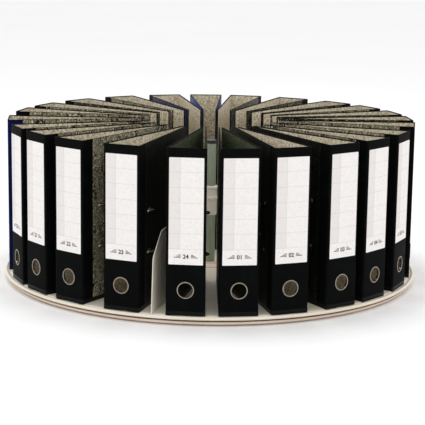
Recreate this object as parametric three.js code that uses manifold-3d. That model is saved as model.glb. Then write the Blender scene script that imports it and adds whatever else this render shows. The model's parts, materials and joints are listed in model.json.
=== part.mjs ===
// A rotary carousel for lever arch files: a round tray that turns on a ball bearing over a
// fixed base, a fixed centre column, radial divider sheets, and a ring of A4 lever arch files
// that stand on the tray with their spines outwards and slide out radially.
//
// Frame: millimetres, +Z up, the origin on the table under the column. A file at angle a has
// its spine towards (sin a, -cos a), so angle 0 faces -Y and angles grow towards +X.
import * as THREE from "three";
import { mergeVertices } from "three/addons/utils/BufferGeometryUtils.js";
import Module from "manifold-3d";

const wasm = await Module();
wasm.setup();

// ---- driving dimensions, mm and degrees -------------------------------------------------
const FILES = 24;
const FILE_HEIGHT = 318;
const FILE_WIDTH = 76; // across the spine
const FILE_DEPTH = 285; // from the spine to the fore-edges
const BOARD = 2.4;
const COVER_GAP = 1.4; // left between the two closest fore-edges, where files stand open
const SHUT_WIDTH = 9; // across the fore-edges of a file that stands shut
const OPEN_FILES = [8, 9, 10, 11, 12, 13, 14, 15, 16, 17]; // counted from 1, as the nodes are
// How far each file was pushed round from its even place, as hands leave it.
const FILE_DRIFT_DEG = [
  0, -1.5, -1, -3, -3, -0.5, -2, -4, -5, -6, -4.5, -3.5,
  -5.5, -7, -6.5, -5.5, -5, -6, -2.5, 1, -1, -2, -0.5, 1.5,
];
const BLUE_FILES = [13, 19];
const NAVY_FILES = [14];

const FINGER_HOLE_HEIGHT = 49; // centre of the hole, above the file's foot
const FINGER_HOLE_RADIUS = 14.6;
const RING_BORE_RADIUS = 14;
const RING_FLANGE_RADIUS = 16.5;
const RING_FLANGE = 0.9; // how far the ring's flange stands off the spine
const LABEL_WIDTH = 65;
const LABEL_FOOT = 98; // label's lower edge, above the file's foot
const LABEL_TOP_MARGIN = 18;
const LABEL_THICKNESS = 0.3;

const ARCH_PITCH = 80; // between the two rings, the standard hole spacing
const ARCH_MIDDLE = 146.5; // middle of the mechanism, above the file's foot
const ARCH_FROM_SPINE = 66;
const ARCH_WIDTH = 22; // between the centre lines of post and arch
const ARCH_TO_MIDDLE = 3.3; // from an arch's top to the middle of the space beside the file
const ARCH_MOUTH = 1.2; // opening between an arch's end and its post
const WIRE_RADIUS = 2;
const COVER_SLOT_LENGTH = 28;
const COVER_SLOT_HEIGHT = 9;
const PLATE_LENGTH = 160;
const PLATE_WIDTH = 60;
const PLATE_THICKNESS = 1.2;
const PLATE_PAST_POSTS = 14; // towards the fore-edge
const LEVER_BEFORE_ARCH = 8; // towards the spine
const LEVER_RISE = 9;
const LEVER_WIDTH = 16;
const LEVER_LENGTH = 62;
const LEVER_THICKNESS = 1.5;
const LEVER_GAP = 2; // above the end of the compressor bar
const COMPRESSOR_WIDTH = 12;
const COMPRESSOR_THICKNESS = 2.5;
const COMPRESSOR_OVERHANG = 14;

const TRAY_RADIUS = 437;
const TRAY_SHEET = 2;
const RIM_HEIGHT = 6.5;
const RIM_WIDTH = 6;
const GUTTER_WIDTH = 6;
const GUTTER_DEPTH = 2;
const SPINE_INSET = 10; // from the tray's edge to the spines
const BASE_SHEET = 2;
const BASE_INSET = 5; // from the tray's edge to the base's
const BASE_RIM = 4; // how far the base's edge turns up
const DRAIN_RADIUS = 8; // hole in the base under the column
const GROOVE = 3.5; // dark gap between base and tray
const FOOT_HEIGHT = 2.5;
const FOOT_RADIUS = 20;
const FOOT_COUNT = 4;
const FOOT_INSET = 52; // from the base's edge to the feet's centres

const RACE_RADIUS = 155;
const RACE_WIDTH = 24;
const RACE_THICKNESS = 3;
const RACE_LIP = 1.2;
const BALLS = 12;
const CAGE_WIDTH = 6;
const CAGE_THICKNESS = 1.2;

const COLUMN_RADIUS = 10.75;
const COLUMN_WALL = 2;
const COLUMN_ABOVE_TRAY = 264;
const CAP_HEIGHT = 8;
const CAP_SPIGOT = 12;
const FLANGE_RADIUS = 45;
const FLANGE_SHEET = 3;
const FLANGE_NECK = 8; // height of its neck
const BUSH_FLANGE_RADIUS = 34;
const BUSH_WALL = 4;
const BUSH_HEIGHT = 8;
const COLLAR_FOOT = 110; // above the tray
const COLLAR_HEIGHT = 63;
const COLLAR_WALL = 2.2;
const COLLAR_RIDGE = 7;
const COLLAR_BAND = 16; // between the two ridges
const COLLAR_RIDGE_PROUD = 1.3;

const DIVIDERS_AFTER = [7, 15, 23]; // the files that they follow
const DIVIDER_SHEET = 1.5;
const DIVIDER_HEIGHT = 149;
const DIVIDER_LENGTH = 233;
const DIVIDER_INSET = 4; // from the tray's edge to its foot
const DIVIDER_CORNER = [54, 42]; // the cut corner, along and up
const DIVIDER_LEAN = 9; // how far its outer edge leans in
const TAB_LENGTH = 44;
const TAB_MARGIN = 30; // from each end of the sheet to its tab

const CLEARANCE = 0.3;
const ROUND = 60; // segments in the largest rounds
const MIDDLING = 24; // in the races and the pieces round the column
const FINE = 12; // in the small ones

// ---- heights and radii worked out from them ---------------------------------------------
const RAD = Math.PI / 180;
const PITCH_DEG = 360 / FILES;
const FILE_ANGLES = FILE_DRIFT_DEG.map((drift, i) => PITCH_DEG * (i + 0.5) + drift);
const gapAfter = (i) => (FILE_ANGLES[(i + 1) % FILES] - FILE_ANGLES[i] + 360) % 360;
const TIGHTEST_DEG = Math.min(...FILE_ANGLES.map((_, i) => gapAfter(i)));

const BASE_RADIUS = TRAY_RADIUS - BASE_INSET;
const BASE_TOP = FOOT_HEIGHT + BASE_SHEET;
const RIM_FOOT = BASE_TOP + BASE_RIM + GROOVE;
const TRAY_TOP = RIM_FOOT + RIM_HEIGHT;
const TRAY_UNDER = TRAY_TOP - TRAY_SHEET;
const SPINE_RADIUS = TRAY_RADIUS - SPINE_INSET;
const FORE_RADIUS = SPINE_RADIUS - FILE_DEPTH;
const OPEN_WIDTH = 2 * FORE_RADIUS * Math.tan((TIGHTEST_DEG / 2) * RAD) - COVER_GAP;
const taperOf = (foreWidth) => Math.atan((FILE_WIDTH - foreWidth) / 2 / FILE_DEPTH);
const TAPER = taperOf(SHUT_WIDTH);
const BOARD_ACROSS = BOARD / Math.cos(TAPER); // a cover's thickness measured across the file
const BUSH_RADIUS = COLUMN_RADIUS + CLEARANCE + BUSH_WALL;
const LABEL_HEIGHT = FILE_HEIGHT - LABEL_FOOT - LABEL_TOP_MARGIN;

// ---- colours and finishes -----------------------------------------------------------------
const finish = (color, roughness, metalness = 0) =>
  new THREE.MeshStandardMaterial({ color, roughness, metalness });
const CREAM = finish("#e9e1cf", 0.45);
const BASE_CREAM = finish("#d9c3ad", 0.5);
const GREY_GREEN = finish("#aab3a6", 0.4);
const BLACK_PLASTIC = finish("#17171a", 0.5);
const RUBBER = finish("#222222", 0.9);
const BLACK_CLOTH = finish("#0e0f11", 0.75);
const BLUE_CLOTH = finish("#2447a8", 0.75);
const NAVY_CLOTH = finish("#232a52", 0.75);
const PAPER = finish("#f2f1ed", 0.85);
const NICKEL = finish("#c9c7c2", 0.25, 1);
const STEEL = finish("#9a9ca0", 0.35, 1);

// ---- solids -------------------------------------------------------------------------------
function solid(geometry) {
  const bare = geometry.index ? geometry.toNonIndexed() : geometry.clone();
  bare.deleteAttribute("normal");
  bare.deleteAttribute("uv");
  const merged = mergeVertices(bare, 1e-4);
  return new wasm.Manifold(
    new wasm.Mesh({
      numProp: 3,
      vertProperties: merged.attributes.position.array,
      triVerts: new Uint32Array(merged.index.array),
    }),
  );
}

function geometryOf(body) {
  const mesh = body.getMesh();
  return new THREE.BufferGeometry()
    .setAttribute("position", new THREE.BufferAttribute(new Float32Array(mesh.vertProperties), 3))
    .setIndex(new THREE.BufferAttribute(new Uint32Array(mesh.triVerts), 1));
}

const joinAll = (bodies) => bodies.reduce((whole, next) => whole.add(next));
const cutAll = (whole, bodies) => bodies.reduce((left, next) => left.subtract(next), whole);

function piece(name, shape, material) {
  const geometry = shape.isBufferGeometry ? shape : geometryOf(shape);
  geometry.computeVertexNormals();
  const mesh = new THREE.Mesh(geometry, material);
  mesh.name = name;
  return mesh;
}

function assembly(parts, angleDeg = 0) {
  const group = new THREE.Group();
  group.rotation.z = angleDeg * RAD;
  group.add(...parts);
  return group;
}

// A shape drawn in plan, raised from z0 to z1.
function raised(points, z0, z1) {
  const shape = new THREE.Shape(points.map(([x, y]) => new THREE.Vector2(x, y)));
  const geometry = new THREE.ExtrudeGeometry(shape, { depth: z1 - z0, bevelEnabled: false });
  return geometry.translate(0, 0, z0);
}

// A closed outline of [radius, height] points turned about the Z axis.
function turned(outline, segments) {
  const points = [...outline, outline[0]].map(([r, z]) => new THREE.Vector2(r, z));
  return new THREE.LatheGeometry(points, segments).rotateX(Math.PI / 2);
}

// A plain ring from radius r0 to r1 and height z0 to z1.
const washer = (r0, r1, z0, z1, segments) =>
  turned([[r0, z0], [r1, z0], [r1, z1], [r0, z1]], segments);

// A box from its lowest corner to its highest.
function block(low, high) {
  const size = high.map((v, i) => v - low[i]);
  const middle = high.map((v, i) => (v + low[i]) / 2);
  return new THREE.BoxGeometry(...size).translate(...middle);
}

// A cylinder along Y, from y0 to y1.
const barrel = (radius, x, z, y0, y1) =>
  new THREE.CylinderGeometry(radius, radius, y1 - y0, FINE).translate(x, (y0 + y1) / 2, z);

// ---- base, column and bearing ---------------------------------------------------------------
function makeBasePan() {
  const r = BASE_RADIUS;
  const rim = BASE_TOP + BASE_RIM;
  return piece("base_pan", turned([
    [DRAIN_RADIUS, FOOT_HEIGHT], [r - 2, FOOT_HEIGHT], [r, FOOT_HEIGHT + 2], [r, rim],
    [r - 6, rim], [r - 6, BASE_TOP], [DRAIN_RADIUS, BASE_TOP],
  ], ROUND), BASE_CREAM);
}

function makeFeet() {
  const reach = BASE_RADIUS - FOOT_INSET;
  return Array.from({ length: FOOT_COUNT }, (_, i) => {
    const a = ((i + 0.5) * 360 / FOOT_COUNT) * RAD;
    const foot = turned([
      [0, 0], [FOOT_RADIUS - 1, 0], [FOOT_RADIUS, 1], [FOOT_RADIUS, FOOT_HEIGHT], [0, FOOT_HEIGHT],
    ], FINE);
    foot.translate(reach * Math.sin(a), -reach * Math.cos(a), 0);
    return piece(`foot_${i + 1}`, foot, RUBBER);
  });
}

// A flat race with a low lip along each edge; side is +1 where the lips stand up.
function makeRace(name, face, side) {
  const r0 = RACE_RADIUS - RACE_WIDTH / 2;
  const r1 = RACE_RADIUS + RACE_WIDTH / 2;
  const back = face - side * RACE_THICKNESS;
  const lip = face + side * RACE_LIP;
  const outline = [[r0, back], [r1, back], [r1, lip], [r1 - 2, lip], [r1 - 3, face],
    [r0 + 3, face], [r0 + 2, lip], [r0, lip]];
  return piece(name, turned(side > 0 ? outline : outline.reverse(), MIDDLING), STEEL);
}

const LOWER_FACE = BASE_TOP + RACE_THICKNESS;
const UPPER_FACE = TRAY_UNDER - RACE_THICKNESS;

function makeBallCage() {
  const middle = (LOWER_FACE + UPPER_FACE) / 2;
  const ball = (UPPER_FACE - LOWER_FACE) / 2 - CLEARANCE;
  const half = CAGE_WIDTH / 2;
  const ring = washer(RACE_RADIUS - half, RACE_RADIUS + half,
    middle - CAGE_THICKNESS / 2, middle + CAGE_THICKNESS / 2, MIDDLING);
  const balls = Array.from({ length: BALLS }, (_, i) => {
    const a = ((i + 0.5) * 360 / BALLS) * RAD;
    return solid(new THREE.SphereGeometry(ball, 8, 6)
      .translate(RACE_RADIUS * Math.cos(a), RACE_RADIUS * Math.sin(a), middle));
  });
  return piece("ball_cage", joinAll([solid(ring), ...balls]), STEEL);
}

function makeColumnFlange() {
  const bore = COLUMN_RADIUS + CLEARANCE;
  const neck = bore + 4;
  return piece("column_flange", turned([
    [bore, BASE_TOP], [FLANGE_RADIUS, BASE_TOP], [FLANGE_RADIUS, BASE_TOP + FLANGE_SHEET],
    [neck, BASE_TOP + FLANGE_SHEET], [neck, BASE_TOP + FLANGE_NECK],
    [bore, BASE_TOP + FLANGE_NECK],
  ], MIDDLING), STEEL);
}

function makeColumn() {
  return piece("column", washer(COLUMN_RADIUS - COLUMN_WALL, COLUMN_RADIUS,
    BASE_TOP, TRAY_TOP + COLUMN_ABOVE_TRAY, MIDDLING), GREY_GREEN);
}

function makeColumnCap() {
  const foot = TRAY_TOP + COLUMN_ABOVE_TRAY;
  const spigot = COLUMN_RADIUS - COLUMN_WALL - CLEARANCE;
  return piece("column_cap", turned([
    [0, foot - CAP_SPIGOT], [spigot, foot - CAP_SPIGOT], [spigot, foot],
    [COLUMN_RADIUS + 0.5, foot], [COLUMN_RADIUS + 0.5, foot + CAP_HEIGHT - 2],
    [COLUMN_RADIUS - 1.5, foot + CAP_HEIGHT], [0, foot + CAP_HEIGHT],
  ], MIDDLING), BLACK_PLASTIC);
}

function makeCollar() {
  const bore = COLUMN_RADIUS + CLEARANCE;
  const sleeve = bore + COLLAR_WALL;
  const ridge = sleeve + COLLAR_RIDGE_PROUD;
  const z0 = TRAY_TOP + COLLAR_FOOT;
  const z4 = z0 + COLLAR_HEIGHT;
  const z3 = z4 - COLLAR_RIDGE;
  const z2 = z3 - COLLAR_BAND;
  const z1 = z2 - COLLAR_RIDGE;
  return piece("stacking_collar", turned([
    [bore, z0], [sleeve, z0], [sleeve, z1], [ridge, z1], [ridge, z2], [sleeve, z2],
    [sleeve, z3], [ridge, z3], [ridge, z4], [bore, z4],
  ], MIDDLING), CREAM);
}

// ---- tray and dividers ----------------------------------------------------------------------
// Each sheet stands halfway between two files.
const DIVIDER_ANGLES = DIVIDERS_AFTER.map((n) => FILE_ANGLES[n - 1] + gapAfter(n - 1) / 2);
const DIVIDER_OUTER = TRAY_RADIUS - DIVIDER_INSET;
const DIVIDER_INNER = DIVIDER_OUTER - DIVIDER_LENGTH;
const TAB_STARTS = [DIVIDER_INNER + TAB_MARGIN, SPINE_RADIUS - TAB_MARGIN - TAB_LENGTH];

function makeTray() {
  const edge = TRAY_RADIUS;
  const bead = edge - RIM_WIDTH;
  const gutter = bead - GUTTER_WIDTH;
  const low = TRAY_TOP - GUTTER_DEPTH;
  const disc = solid(turned([
    [BUSH_RADIUS + CLEARANCE, TRAY_UNDER], [gutter - 2, TRAY_UNDER],
    [gutter, low - TRAY_SHEET], [bead + 0.5, low - TRAY_SHEET],
    [bead + 0.5, RIM_FOOT], [edge - 1.6, RIM_FOOT], [edge, RIM_FOOT + 2], [edge, TRAY_TOP - 2],
    [edge - 1.6, TRAY_TOP], [bead + 1.5, TRAY_TOP], [bead, low], [gutter + 1.5, low],
    [gutter - 0.5, TRAY_TOP],
    [BUSH_RADIUS + CLEARANCE, TRAY_TOP],
  ], ROUND));
  const half = DIVIDER_SHEET / 2 + CLEARANCE;
  const slots = DIVIDER_ANGLES.flatMap((a) => TAB_STARTS.map((start) => solid(
    block([-half, -start - TAB_LENGTH - CLEARANCE, TRAY_UNDER - 1],
      [half, -start + CLEARANCE, TRAY_TOP + 1]).rotateZ(a * RAD))));
  return piece("tray", cutAll(disc, slots), CREAM);
}

function makeHubBush() {
  const bore = COLUMN_RADIUS + CLEARANCE;
  const top = TRAY_TOP + 2;
  const foot = TRAY_UNDER - 2;
  return piece("hub_bush", turned([
    [bore, foot], [BUSH_RADIUS, foot], [BUSH_RADIUS, TRAY_TOP], [BUSH_FLANGE_RADIUS, TRAY_TOP],
    [BUSH_FLANGE_RADIUS, top], [BUSH_RADIUS, top], [BUSH_RADIUS - 1, TRAY_TOP + BUSH_HEIGHT],
    [bore, TRAY_TOP + BUSH_HEIGHT],
  ], MIDDLING), BASE_CREAM);
}

// An upright sheet along the radius, its outer top corner cut away, with two tabs at its foot.
function makeDivider(angle, i) {
  const top = DIVIDER_HEIGHT;
  const [cutAlong, cutUp] = DIVIDER_CORNER;
  const corner = DIVIDER_OUTER - DIVIDER_LEAN;
  const tabs = TAB_STARTS.flatMap((s) => [[s, 0], [s, -TRAY_SHEET],
    [s + TAB_LENGTH, -TRAY_SHEET], [s + TAB_LENGTH, 0]]);
  const outline = [[DIVIDER_INNER, 0], ...tabs, [DIVIDER_OUTER, 0],
    [corner, top - cutUp], [corner - cutAlong, top], [DIVIDER_INNER, top]];
  const sheet = raised(outline, -DIVIDER_SHEET / 2, DIVIDER_SHEET / 2)
    .rotateX(Math.PI / 2)
    .rotateZ(-Math.PI / 2)
    .translate(0, 0, TRAY_TOP);
  return assembly([piece(`divider_${i + 1}`, sheet, CREAM)], angle);
}

// ---- lever arch files -----------------------------------------------------------------------
const HALF = FILE_WIDTH / 2;
const SHUT_HALF = SHUT_WIDTH / 2;
const FILE_TOP = TRAY_TOP + FILE_HEIGHT;
const HOLE_HEIGHT = TRAY_TOP + FINGER_HOLE_HEIGHT;

const fingerHole = () => solid(barrel(FINGER_HOLE_RADIUS, 0, HOLE_HEIGHT,
  -SPINE_RADIUS - 1, -SPINE_RADIUS + BOARD + 1));

// Spine and both covers: a channel that narrows towards its fore-edge.
function makeFile(i, material) {
  const y0 = -SPINE_RADIUS;
  const y1 = -FORE_RADIUS;
  const foreWidth = OPEN_FILES.includes(i + 1) ? OPEN_WIDTH : SHUT_WIDTH;
  const taper = taperOf(foreWidth);
  const across = BOARD / Math.cos(taper);
  const fore = foreWidth / 2;
  const inner = HALF - across - BOARD * Math.tan(taper);
  const board = solid(raised([
    [-HALF, y0], [HALF, y0], [fore, y1], [fore - across, y1],
    [inner, y0 + BOARD], [-inner, y0 + BOARD], [-fore + across, y1], [-fore, y1],
  ], TRAY_TOP, FILE_TOP));
  return piece(fileName(i), board.subtract(fingerHole()), material);
}

const fileName = (i) => `file_${String(i + 1).padStart(2, "0")}`;

// The first file comes apart: case, front cover, label, finger ring and lever arch mechanism.
function makeCase() {
  const y0 = -SPINE_RADIUS;
  const y1 = -FORE_RADIUS;
  const slope = Math.tan(TAPER);
  const inner = HALF - BOARD_ACROSS - BOARD * slope;
  const board = solid(raised([
    [-HALF, y0], [HALF, y0], [HALF - BOARD * slope, y0 + BOARD], [-inner, y0 + BOARD],
    [-SHUT_HALF + BOARD_ACROSS, y1], [-SHUT_HALF, y1],
  ], TRAY_TOP, FILE_TOP));
  return piece("file_01_case", board.subtract(fingerHole()), BLACK_CLOTH);
}

const INSIDE_AT_ARCH = FILE_WIDTH - 2 * BOARD_ACROSS - 2 * ARCH_FROM_SPINE * Math.tan(TAPER);
// Half the space between the first file and the next, at the arches.
const ARCH_RADIUS = SPINE_RADIUS - ARCH_FROM_SPINE;
const HALF_AT_ARCH = INSIDE_AT_ARCH / 2 + BOARD_ACROSS;
const SPACE_AT_ARCH = ARCH_RADIUS * Math.tan((gapAfter(0) / 2) * RAD) - HALF_AT_ARCH;
const ARCH_PROUD = SPACE_AT_ARCH - ARCH_TO_MIDDLE;
// The arches stand square on the back cover, so they meet the front cover nearer the spine.
const SLOT_MIDDLE = -SPINE_RADIUS + ARCH_FROM_SPINE * Math.cos(TAPER)
  - (INSIDE_AT_ARCH + BOARD) * Math.sin(TAPER);
const archHeights = [-0.5, 0.5].map((side) => TRAY_TOP + ARCH_MIDDLE + side * ARCH_PITCH);

function makeFrontCover() {
  const y0 = -SPINE_RADIUS + BOARD + CLEARANCE;
  const y1 = -FORE_RADIUS;
  const slope = Math.tan(TAPER);
  const root = HALF - (BOARD + CLEARANCE) * slope;
  const cover = solid(raised([
    [root - BOARD_ACROSS, y0], [root, y0], [SHUT_HALF, y1], [SHUT_HALF - BOARD_ACROSS, y1],
  ], TRAY_TOP, FILE_TOP));
  const slots = archHeights.map((z) => solid(block(
    [0, SLOT_MIDDLE - COVER_SLOT_LENGTH / 2, z - COVER_SLOT_HEIGHT / 2],
    [HALF + 1, SLOT_MIDDLE + COVER_SLOT_LENGTH / 2, z + COVER_SLOT_HEIGHT / 2])));
  return piece("file_01_front_cover", cutAll(cover, slots), BLACK_CLOTH);
}

function makeLabel() {
  const y = -SPINE_RADIUS - CLEARANCE;
  return piece("file_01_label", block([-LABEL_WIDTH / 2, y - LABEL_THICKNESS, TRAY_TOP + LABEL_FOOT],
    [LABEL_WIDTH / 2, y, TRAY_TOP + LABEL_FOOT + LABEL_HEIGHT]), PAPER);
}

// An eyelet: a tube through the spine with a flange outside and a rolled-over lip inside.
function makeFingerRing() {
  const out = RING_FLANGE + CLEARANCE;
  const back = -BOARD - CLEARANCE;
  const tube = FINGER_HOLE_RADIUS - CLEARANCE;
  const eyelet = turned([
    [RING_BORE_RADIUS, back], [tube, back], [tube, CLEARANCE], [RING_FLANGE_RADIUS, CLEARANCE],
    [RING_FLANGE_RADIUS - 0.6, out], [RING_BORE_RADIUS + 0.5, out], [RING_BORE_RADIUS, out - 0.5],
  ], FINE).rotateX(Math.PI / 2).translate(0, -SPINE_RADIUS, HOLE_HEIGHT);
  return piece("file_01_finger_ring", eyelet, NICKEL);
}

// The mechanism's own frame: x off the back cover's inner face, y along it from the spine.
const POST_Y = ARCH_FROM_SPINE + ARCH_WIDTH / 2;
const ARCH_Y = ARCH_FROM_SPINE - ARCH_WIDTH / 2;
const PLATE_X = CLEARANCE + PLATE_THICKNESS;
const ARCH_TOP = INSIDE_AT_ARCH + BOARD + ARCH_PROUD;

// A round wire along a list of [x, y, z] points, bent smoothly where it turns.
function wire(points, radius, steps) {
  const path = new THREE.CatmullRomCurve3(points.map((p) => new THREE.Vector3(...p)), false,
    "catmullrom", 0.4);
  const section = new THREE.Shape().absarc(0, 0, radius, 0, 2 * Math.PI);
  return solid(new THREE.ExtrudeGeometry(section,
    { steps, curveSegments: 4, extrudePath: path, bevelEnabled: false }));
}

function makeMechanismBase() {
  const low = TRAY_TOP + ARCH_MIDDLE - PLATE_LENGTH / 2;
  const y0 = POST_Y + PLATE_PAST_POSTS - PLATE_WIDTH;
  const plate = solid(block([CLEARANCE, y0, low],
    [PLATE_X, y0 + PLATE_WIDTH, low + PLATE_LENGTH]));
  const tip = ARCH_TOP - ARCH_WIDTH / 2 - ARCH_MOUTH;
  const posts = archHeights.map((z) => solid(new THREE.CylinderGeometry(
    WIRE_RADIUS, WIRE_RADIUS, tip - CLEARANCE, 10).rotateZ(Math.PI / 2)
    .translate((tip + CLEARANCE) / 2, POST_Y, z)));
  return piece("file_01_mechanism_base", joinAll([plate, ...posts]), STEEL);
}

// Two half arches on one wire that lies along the plate.
function makeArchWire() {
  const foot = PLATE_X + CLEARANCE + WIRE_RADIUS;
  const bend = ARCH_TOP - ARCH_WIDTH / 2;
  const arches = archHeights.map((z) => {
    const turn = Array.from({ length: 7 }, (_, i) => {
      const a = (i / 6) * Math.PI;
      return [bend - WIRE_RADIUS + (ARCH_WIDTH / 2) * Math.sin(a),
        ARCH_FROM_SPINE - (ARCH_WIDTH / 2) * Math.cos(a), z];
    });
    return wire([[foot, ARCH_Y, z], [bend * 0.3, ARCH_Y, z], [bend * 0.6, ARCH_Y, z],
      ...turn.slice(0, -1), [bend, POST_Y, z]], WIRE_RADIUS, 14);
  });
  const rail = solid(new THREE.CylinderGeometry(WIRE_RADIUS, WIRE_RADIUS,
    ARCH_PITCH + 2 * WIRE_RADIUS, 10).rotateX(Math.PI / 2)
    .translate(foot, ARCH_Y, TRAY_TOP + ARCH_MIDDLE));
  return piece("file_01_arch_wire", joinAll([...arches, rail]), NICKEL);
}

// A bent strip over the upper end of the plate, with its grip towards the fore-edge.
function makeLever() {
  const z0 = archHeights[1] + COMPRESSOR_OVERHANG + LEVER_GAP;
  const t = LEVER_THICKNESS;
  const x0 = PLATE_X + CLEARANCE;
  const y0 = ARCH_Y - LEVER_BEFORE_ARCH;
  const rise = LEVER_RISE;
  const strip = [
    [x0, y0], [x0 + rise, y0 + 3], [x0 + rise + 2, y0 + 8], [x0 + rise + 2, y0 + LEVER_LENGTH - 8],
    [x0 + rise + 6, y0 + LEVER_LENGTH], [x0 + rise + 6 - t, y0 + LEVER_LENGTH + 1],
    [x0 + rise + 2 - t, y0 + LEVER_LENGTH - 7], [x0 + rise + 2 - t, y0 + 8.5],
    [x0 + rise - t, y0 + 4], [x0, y0 + 1.5],
  ];
  return piece("file_01_lever", raised(strip, z0, z0 + LEVER_WIDTH), NICKEL);
}

// A bar that slides along the two posts and holds the papers down.
function makeCompressorBar() {
  const half = ARCH_PITCH / 2 + COMPRESSOR_OVERHANG;
  const middle = TRAY_TOP + ARCH_MIDDLE;
  const x0 = PLATE_X + 3;
  const bar = solid(block([x0, POST_Y - COMPRESSOR_WIDTH / 2, middle - half],
    [x0 + COMPRESSOR_THICKNESS, POST_Y + COMPRESSOR_WIDTH / 2, middle + half]));
  const bores = archHeights.map((z) => solid(new THREE.CylinderGeometry(
    WIRE_RADIUS + 2 * CLEARANCE, WIRE_RADIUS + 2 * CLEARANCE, 3 * COMPRESSOR_THICKNESS, 10)
    .rotateZ(Math.PI / 2).translate(x0, POST_Y, z)));
  return piece("file_01_compressor_bar", cutAll(bar, bores), BLACK_PLASTIC);
}

function makeMechanism() {
  const group = assembly([makeMechanismBase(), makeArchWire(), makeLever(), makeCompressorBar()]);
  group.rotation.z = -TAPER;
  group.position.set(-HALF + BOARD_ACROSS, -SPINE_RADIUS, 0);
  return group;
}

function makeFirstFile() {
  return [makeCase(), makeFrontCover(), makeLabel(), makeFingerRing(), makeMechanism()];
}

function clothOf(i) {
  if (BLUE_FILES.includes(i + 1)) return BLUE_CLOTH;
  return NAVY_FILES.includes(i + 1) ? NAVY_CLOTH : BLACK_CLOTH;
}

function makeFiles() {
  return FILE_ANGLES.map((angle, i) =>
    assembly(i === 0 ? makeFirstFile() : [makeFile(i, clothOf(i))], angle));
}

// ---- the whole carousel ---------------------------------------------------------------------
const stand = assembly([
  makeBasePan(), ...makeFeet(), makeRace("lower_race", LOWER_FACE, 1),
  makeColumnFlange(), makeColumn(), makeColumnCap(), makeCollar(),
]);
const turntable = assembly([
  makeTray(), makeRace("upper_race", UPPER_FACE, -1), makeHubBush(),
  ...DIVIDER_ANGLES.map(makeDivider),
]);

const carousel = new THREE.Group();
carousel.name = "rotary_file_carousel";
carousel.add(stand, makeBallCage(), turntable, ...makeFiles());

export default carousel;
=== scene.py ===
"""A rotary carousel of lever arch files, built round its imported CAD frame.

Lengths are metres. A file is made once, with its spine towards -Y, and a turned copy is placed
on each file's body. Every surface is a grid of points worked out as whole numpy arrays.
"""

import json
import math

import bmesh
import bpy
import numpy as np
from mathutils import Matrix, Vector


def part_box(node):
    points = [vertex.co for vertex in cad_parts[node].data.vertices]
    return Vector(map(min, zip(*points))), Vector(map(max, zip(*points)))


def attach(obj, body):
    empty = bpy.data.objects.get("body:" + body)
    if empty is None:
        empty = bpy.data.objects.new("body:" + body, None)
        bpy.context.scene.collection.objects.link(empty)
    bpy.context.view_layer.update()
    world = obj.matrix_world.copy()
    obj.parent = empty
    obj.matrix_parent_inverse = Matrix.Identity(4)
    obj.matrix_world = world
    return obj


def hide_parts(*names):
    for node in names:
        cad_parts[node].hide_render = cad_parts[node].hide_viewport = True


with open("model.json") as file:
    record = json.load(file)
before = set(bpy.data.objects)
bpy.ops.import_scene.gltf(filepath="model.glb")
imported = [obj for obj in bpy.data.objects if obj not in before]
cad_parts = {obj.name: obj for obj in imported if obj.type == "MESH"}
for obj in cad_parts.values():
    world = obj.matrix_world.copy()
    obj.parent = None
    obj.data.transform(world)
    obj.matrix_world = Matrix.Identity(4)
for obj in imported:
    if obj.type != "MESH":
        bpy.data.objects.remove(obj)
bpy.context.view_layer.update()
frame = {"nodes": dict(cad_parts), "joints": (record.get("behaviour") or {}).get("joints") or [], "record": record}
MM = 0.001
CLEARANCE = 0.3 * MM  # left between pieces that fit together
SHEET = 2 * MM  # wall of the base pan and the tray

# ---- sizes read from the frame --------------------------------------------------------------
TRAY_LOW, TRAY_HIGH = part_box("tray")
BASE_LOW, BASE_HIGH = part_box("base_pan")
COLUMN_LOW, COLUMN_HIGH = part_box("column")
CAP_LOW, CAP_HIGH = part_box("column_cap")
COLLAR_LOW, COLLAR_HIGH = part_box("stacking_collar")
TRAY_RADIUS = TRAY_HIGH.x
TRAY_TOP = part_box("file_02")[0].z
FILE_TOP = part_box("file_02")[1].z
PULLS = {j["child"]: j["axis"] for j in frame["joints"] if j["name"].endswith("_pull")}
FILE_ANGLES = {body: math.atan2(a[0], -a[1]) for body, a in sorted(PULLS.items())}


def node_points(node, angle):
    """A CAD node's corners as (across, out from the column, up), seen from a file at angle."""
    mesh = frame["nodes"][node].data
    points = np.zeros(len(mesh.vertices) * 3)
    mesh.vertices.foreach_get("co", points)
    x, y, z = points.reshape(-1, 3).T
    return np.stack([x * math.cos(angle) + y * math.sin(angle),
                     x * math.sin(angle) - y * math.cos(angle), z], axis=1)


FIRST = FILE_ANGLES["file_01"]
FILE_POINTS = node_points("file_02", FILE_ANGLES["file_02"])
SPINE_RADIUS = FILE_POINTS[:, 1].max()
FORE_RADIUS = FILE_POINTS[:, 1].min()
SPINE_HALF = FILE_POINTS[:, 0].max()
FILE_DEPTH = SPINE_RADIUS - FORE_RADIUS
BOARD = 2.4 * MM
RING_POINTS = node_points("file_01_finger_ring", FIRST)
RING_RADIUS = RING_POINTS[:, 0].max()
HOLE_HEIGHT = (RING_POINTS[:, 2].max() + RING_POINTS[:, 2].min()) / 2
LABEL_POINTS = node_points("file_01_label", FIRST)

# ---- colours --------------------------------------------------------------------------------


def linear(hex_colour):
    """An sRGB hex colour as linear red, green, blue and 1."""
    parts = [int(hex_colour[i:i + 2], 16) / 255 for i in (1, 3, 5)]
    return tuple(c / 12.92 if c <= 0.04045 else ((c + 0.055) / 1.055) ** 2.4
                 for c in parts) + (1.0,)


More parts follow.
